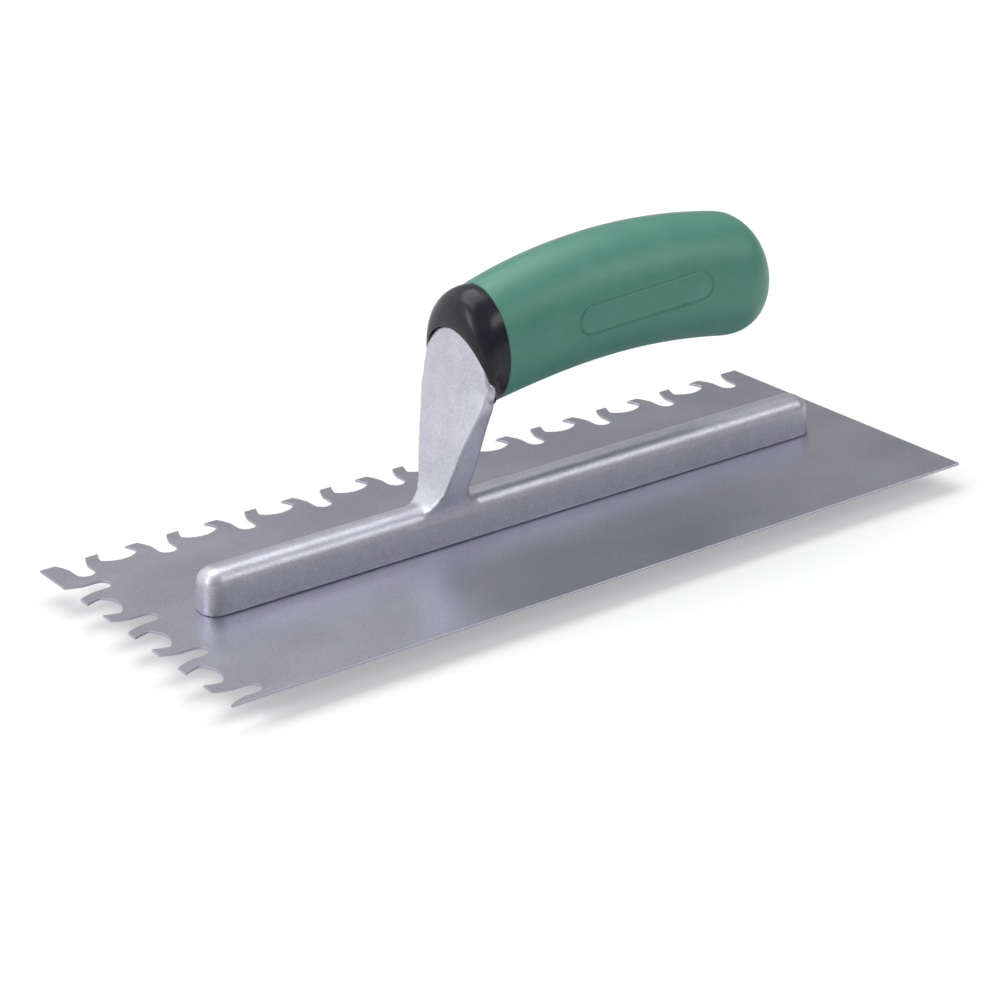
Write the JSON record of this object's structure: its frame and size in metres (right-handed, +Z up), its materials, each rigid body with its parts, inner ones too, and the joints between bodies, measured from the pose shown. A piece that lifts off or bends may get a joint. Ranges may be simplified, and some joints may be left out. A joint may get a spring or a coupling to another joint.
{
  "type": "notched trowel",
  "caption": "Flat rectangular steel blade with slots and bowls along one long edge and one end, on a cast aluminium bar and gooseneck shank with a curved green rubber grip.",
  "frame": {"origin": "middle of the blade's underside, which is the bottom of the whole tool", "axes": "+X along the blade towards its plain short end and the grip's closed tail, +Y towards the notched long edge, +Z up out of the blade through the grip"},
  "size_m": [0.2794, 0.112, 0.0886],
  "materials": {
    "blade_steel": "thin rolled spring steel, satin, fine streaks along the blade",
    "cast_aluminium": "cast aluminium, tumbled to a fine satin grain",
    "rivet_steel": "steel rivet heads ground flush with the blade's underside",
    "collar_plastic": "black moulded plastic, semi-gloss",
    "core_plastic": "hard moulded core inside the grip, hidden",
    "grip_rubber": "green soft rubber, smooth satin moulded skin with a parting line"
  },
  "bodies": {
    "root": {"blade": "blade_steel", "mounting": "cast_aluminium", "rivet_1": "rivet_steel", "rivet_2": "rivet_steel", "rivet_3": "rivet_steel", "rivet_4": "rivet_steel", "rivet_5": "rivet_steel", "rivet_6": "rivet_steel", "rivet_7": "rivet_steel", "rivet_8": "rivet_steel", "rivet_9": "rivet_steel", "collar": "collar_plastic", "grip_core": "core_plastic", "grip_sleeve": "grip_rubber"}
  },
  "joints": []
}
